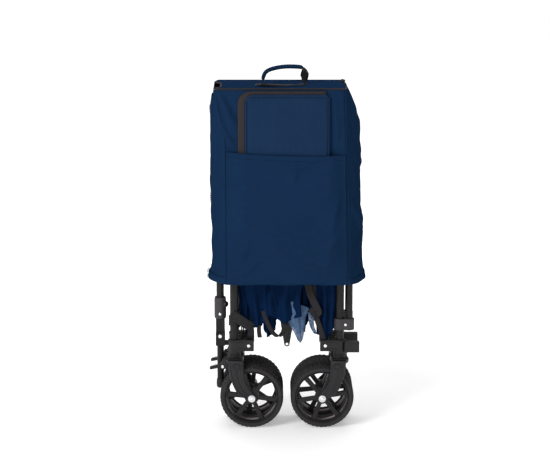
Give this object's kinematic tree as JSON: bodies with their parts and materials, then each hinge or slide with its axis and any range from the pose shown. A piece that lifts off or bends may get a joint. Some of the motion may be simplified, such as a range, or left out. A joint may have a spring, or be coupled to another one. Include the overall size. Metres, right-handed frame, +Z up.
{
  "type": "folding wagon with pull handle",
  "caption": "Four-way folding wagon with pull handle, folded upright on its wheels under a zipped fabric cover bag with a carry handle and mat pocket.",
  "frame": {"origin": "on the ground, at the middle of the folded wagon", "axes": "+Z up; -X to the front, where the pull handle is; -Y to the near side"},
  "size_m": [0.394, 0.22, 0.9071],
  "materials": {
    "frame_black": "satin black powder coat",
    "casting_black": "fine moulded texture",
    "fork_black": "fine moulded texture",
    "rim_black": "smooth moulded",
    "tyre": "dull foam-filled rubber",
    "zinc": "bright zinc plate",
    "pedal_black": "moulded",
    "grip_black": "soft grip",
    "cover_navy": "woven polyester, coated inside",
    "mat_navy": "woven polyester over a stiff board",
    "tub_navy": "woven polyester",
    "webbing_black": "ribbed polyester webbing"
  },
  "bodies": {
    "rear_near": {"rear_near_post": "frame_black", "rear_near_bracket": "casting_black", "rear_near_fork": "fork_black", "rear_near_axle_bolt": "zinc", "canopy_pole_near": "frame_black", "tub_side_near": "tub_navy", "tub_end_rear": "tub_navy"},
    "front_near": {"front_near_post": "frame_black", "front_near_bracket": "casting_black", "tub_end_front": "tub_navy"},
    "rear_far": {"rear_far_post": "frame_black", "rear_far_bracket": "casting_black", "rear_far_fork": "fork_black", "rear_far_axle_bolt": "zinc", "canopy_pole_far": "frame_black", "tub_side_far": "tub_navy"},
    "front_far": {"front_far_post": "frame_black", "front_far_bracket": "casting_black"},
    "rear_near_sleeve": {"rear_near_sleeve": "casting_black"},
    "rear_near_lower_bar": {"rear_near_lower_bar": "frame_black"},
    "rear_near_upper_bar": {"rear_near_upper_bar": "frame_black"},
    "rear_near_end_bar": {"rear_near_end_bar": "frame_black"},
    "front_near_sleeve": {"front_near_sleeve": "casting_black"},
    "front_near_lower_bar": {"front_near_lower_bar": "frame_black"},
    "front_near_upper_bar": {"front_near_upper_bar": "frame_black"},
    "front_near_end_bar": {"front_near_end_bar": "frame_black"},
    "rear_far_sleeve": {"rear_far_sleeve": "casting_black"},
    "rear_far_lower_bar": {"rear_far_lower_bar": "frame_black"},
    "rear_far_upper_bar": {"rear_far_upper_bar": "frame_black"},
    "rear_far_end_bar": {"rear_far_end_bar": "frame_black"},
    "front_far_sleeve": {"front_far_sleeve": "casting_black"},
    "front_far_lower_bar": {"front_far_lower_bar": "frame_black"},
    "front_far_upper_bar": {"front_far_upper_bar": "frame_black"},
    "front_far_end_bar": {"front_far_end_bar": "frame_black"},
    "rear_near_wheel": {"rear_near_tyre": "tyre", "rear_near_rim": "rim_black"},
    "front_near_caster": {"front_near_fork": "fork_black", "front_near_axle_bolt": "zinc"},
    "front_near_pedal": {"front_near_brake_pedal": "pedal_black"},
    "front_near_wheel": {"front_near_tyre": "tyre", "front_near_rim": "rim_black"},
    "rear_far_wheel": {"rear_far_tyre": "tyre", "rear_far_rim": "rim_black"},
    "front_far_caster": {"front_far_fork": "fork_black", "front_far_axle_bolt": "zinc"},
    "front_far_pedal": {"front_far_brake_pedal": "pedal_black"},
    "front_far_wheel": {"front_far_tyre": "tyre", "front_far_rim": "rim_black"},
    "handle_mount": {"handle_stem": "frame_black"},
    "handle": {"handle_tube": "frame_black"},
    "handle_extension": {"handle_grip": "grip_black"},
    "tub_band": {"front_far_band": "webbing_black"},
    "cover": {"cover_front": "cover_navy", "cover_back": "cover_navy", "cover_left": "cover_navy", "cover_right": "cover_navy", "cover_top": "cover_navy", "cover_pocket": "cover_navy", "folded_mat": "mat_navy", "carry_handle": "cover_navy"}
  },
  "joints": [
    {"name": "unfold", "type": "slide", "parent": "rear_near", "child": "front_near", "axis": [-1, 0, 0], "range_m": [0, 0.55], "deforming": ["cover_front", "cover_back", "cover_left", "cover_right", "cover_top", "cover_pocket", "folded_mat", "carry_handle", "tub_side_near", "tub_side_far", "tub_end_front", "tub_end_rear"]},
    {"name": "widen", "type": "slide", "parent": "rear_near", "child": "rear_far", "axis": [0, 1, 0], "range_m": [0, 0.33517]},
    {"name": "unfold_far", "type": "slide", "parent": "rear_far", "child": "front_far", "axis": [-1, 0, 0], "range_m": [0, 0.55]},
    {"name": "rear_near_sleeve_slide", "type": "slide", "parent": "rear_near", "child": "rear_near_sleeve", "axis": [0, 0, -1], "range_m": [0, 0.12203]},
    {"name": "rear_near_lower_bar_pivot", "type": "hinge", "parent": "rear_near", "child": "rear_near_lower_bar", "pos_m": [0.096, -0.037, 0.2115], "axis": [0, -1, 0], "range_deg": [0, 29.29]},
    {"name": "rear_near_upper_bar_pivot", "type": "hinge", "parent": "rear_near_sleeve", "child": "rear_near_upper_bar", "pos_m": [0.096, -0.037, 0.7987], "axis": [0, 1, 0], "range_deg": [0, 29.29]},
    {"name": "rear_near_end_bar_pivot", "type": "hinge", "parent": "rear_near", "child": "rear_near_end_bar", "pos_m": [0.132, -0.012, 0.2115], "axis": [-1, 0, 0], "range_deg": [0, 35.33]},
    {"name": "front_near_sleeve_slide", "type": "slide", "parent": "front_near", "child": "front_near_sleeve", "axis": [0, 0, -1], "range_m": [0, 0.12203]},
    {"name": "front_near_lower_bar_pivot", "type": "hinge", "parent": "front_near", "child": "front_near_lower_bar", "pos_m": [-0.096, -0.037, 0.2115], "axis": [0, 1, 0], "range_deg": [0, 29.29]},
    {"name": "front_near_upper_bar_pivot", "type": "hinge", "parent": "front_near_sleeve", "child": "front_near_upper_bar", "pos_m": [-0.096, -0.037, 0.7987], "axis": [0, -1, 0], "range_deg": [0, 29.29]},
    {"name": "front_near_end_bar_pivot", "type": "hinge", "parent": "front_near", "child": "front_near_end_bar", "pos_m": [-0.132, -0.012, 0.2115], "axis": [-1, 0, 0], "range_deg": [0, 35.33]},
    {"name": "rear_far_sleeve_slide", "type": "slide", "parent": "rear_far", "child": "rear_far_sleeve", "axis": [0, 0, -1], "range_m": [0, 0.12203]},
    {"name": "rear_far_lower_bar_pivot", "type": "hinge", "parent": "rear_far", "child": "rear_far_lower_bar", "pos_m": [0.096, 0.037, 0.2115], "axis": [0, -1, 0], "range_deg": [0, 29.29]},
    {"name": "rear_far_upper_bar_pivot", "type": "hinge", "parent": "rear_far_sleeve", "child": "rear_far_upper_bar", "pos_m": [0.096, 0.037, 0.7987], "axis": [0, 1, 0], "range_deg": [0, 29.29]},
    {"name": "rear_far_end_bar_pivot", "type": "hinge", "parent": "rear_far", "child": "rear_far_end_bar", "pos_m": [0.132, 0.012, 0.2115], "axis": [1, 0, 0], "range_deg": [0, 35.33]},
    {"name": "front_far_sleeve_slide", "type": "slide", "parent": "front_far", "child": "front_far_sleeve", "axis": [0, 0, -1], "range_m": [0, 0.12203]},
    {"name": "front_far_lower_bar_pivot", "type": "hinge", "parent": "front_far", "child": "front_far_lower_bar", "pos_m": [-0.096, 0.037, 0.2115], "axis": [0, 1, 0], "range_deg": [0, 29.29]},
    {"name": "front_far_upper_bar_pivot", "type": "hinge", "parent": "front_far_sleeve", "child": "front_far_upper_bar", "pos_m": [-0.096, 0.037, 0.7987], "axis": [0, -1, 0], "range_deg": [0, 29.29]},
    {"name": "front_far_end_bar_pivot", "type": "hinge", "parent": "front_far", "child": "front_far_end_bar", "pos_m": [-0.132, 0.012, 0.2115], "axis": [1, 0, 0], "range_deg": [0, 35.33]},
    {"name": "rear_near_wheel_spin", "type": "hinge", "parent": "rear_near", "child": "rear_near_wheel", "pos_m": [0.0885, -0.037, 0.0795], "axis": [0, 1, 0], "continuous": true},
    {"name": "front_near_swivel", "type": "hinge", "parent": "front_near", "child": "front_near_caster", "pos_m": [-0.132, -0.037, 0.1815], "axis": [0, 0, -1], "range_deg": [-2, 18]},
    {"name": "front_near_brake", "type": "hinge", "parent": "front_near_caster", "child": "front_near_pedal", "pos_m": [-0.161, -0.037, 0.1555], "axis": [0, -1, 0], "range_deg": [0, 14]},
    {"name": "front_near_wheel_spin", "type": "hinge", "parent": "front_near_caster", "child": "front_near_wheel", "pos_m": [-0.0885, -0.037, 0.0795], "axis": [0, 1, 0], "continuous": true},
    {"name": "rear_far_wheel_spin", "type": "hinge", "parent": "rear_far", "child": "rear_far_wheel", "pos_m": [0.0885, 0.037, 0.0795], "axis": [0, 1, 0], "continuous": true},
    {"name": "front_far_swivel", "type": "hinge", "parent": "front_far", "child": "front_far_caster", "pos_m": [-0.132, 0.037, 0.1815], "axis": [0, 0, 1], "range_deg": [-2, 18]},
    {"name": "front_far_brake", "type": "hinge", "parent": "front_far_caster", "child": "front_far_pedal", "pos_m": [-0.161, 0.037, 0.1555], "axis": [0, -1, 0], "range_deg": [0, 14]},
    {"name": "front_far_wheel_spin", "type": "hinge", "parent": "front_far_caster", "child": "front_far_wheel", "pos_m": [-0.0885, 0.037, 0.0795], "axis": [0, 1, 0], "continuous": true},
    {"name": "handle_centre", "type": "slide", "parent": "front_near", "child": "handle_mount", "axis": [0, 1, 0], "range_m": [0, 0.16758]},
    {"name": "handle_swing", "type": "hinge", "parent": "handle_mount", "child": "handle", "pos_m": [-0.168, 0, 0.2255], "axis": [0, -1, 0], "range_deg": [0, 60]},
    {"name": "handle_extend", "type": "slide", "parent": "handle", "child": "handle_extension", "axis": [0, 0, 1], "range_m": [0, 0.27]},
    {"name": "band_follow", "type": "slide", "parent": "front_near", "child": "tub_band", "axis": [0, 1, 0], "range_m": [0, 0.33517]},
    {"name": "cover_lift", "type": "slide", "parent": "rear_near", "child": "cover", "axis": [0, 0, 1], "range_m": [0, 0.5]}
  ],
  "couplings": [
    {"joint": "widen", "follows": "unfold", "ratio": 0.6094},
    {"joint": "unfold_far", "follows": "unfold", "ratio": 1},
    {"joint": "rear_near_sleeve_slide", "follows": "unfold", "ratio": 0.22188},
    {"joint": "rear_near_lower_bar_pivot", "follows": "unfold", "rad_per_m": 0.92945},
    {"joint": "rear_near_upper_bar_pivot", "follows": "unfold", "rad_per_m": 0.92945},
    {"joint": "rear_near_end_bar_pivot", "follows": "unfold", "rad_per_m": 1.1212},
    {"joint": "front_near_sleeve_slide", "follows": "unfold", "ratio": 0.22188},
    {"joint": "front_near_lower_bar_pivot", "follows": "unfold", "rad_per_m": 0.92945},
    {"joint": "front_near_upper_bar_pivot", "follows": "unfold", "rad_per_m": 0.92945},
    {"joint": "front_near_end_bar_pivot", "follows": "unfold", "rad_per_m": 1.1212},
    {"joint": "rear_far_sleeve_slide", "follows": "unfold", "ratio": 0.22188},
    {"joint": "rear_far_lower_bar_pivot", "follows": "unfold", "rad_per_m": 0.92945},
    {"joint": "rear_far_upper_bar_pivot", "follows": "unfold", "rad_per_m": 0.92945},
    {"joint": "rear_far_end_bar_pivot", "follows": "unfold", "rad_per_m": 1.1212},
    {"joint": "front_far_sleeve_slide", "follows": "unfold", "ratio": 0.22188},
    {"joint": "front_far_lower_bar_pivot", "follows": "unfold", "rad_per_m": 0.92945},
    {"joint": "front_far_upper_bar_pivot", "follows": "unfold", "rad_per_m": 0.92945},
    {"joint": "front_far_end_bar_pivot", "follows": "unfold", "rad_per_m": 1.1212},
    {"joint": "handle_centre", "follows": "unfold", "ratio": 0.3047},
    {"joint": "handle_swing", "follows": "unfold", "rad_per_m": 1.904},
    {"joint": "handle_extend", "follows": "unfold", "ratio": 0.49091},
    {"joint": "band_follow", "follows": "unfold", "ratio": 0.6094},
    {"joint": "cover_lift", "follows": "unfold", "ratio": 0.90909}
  ]
}
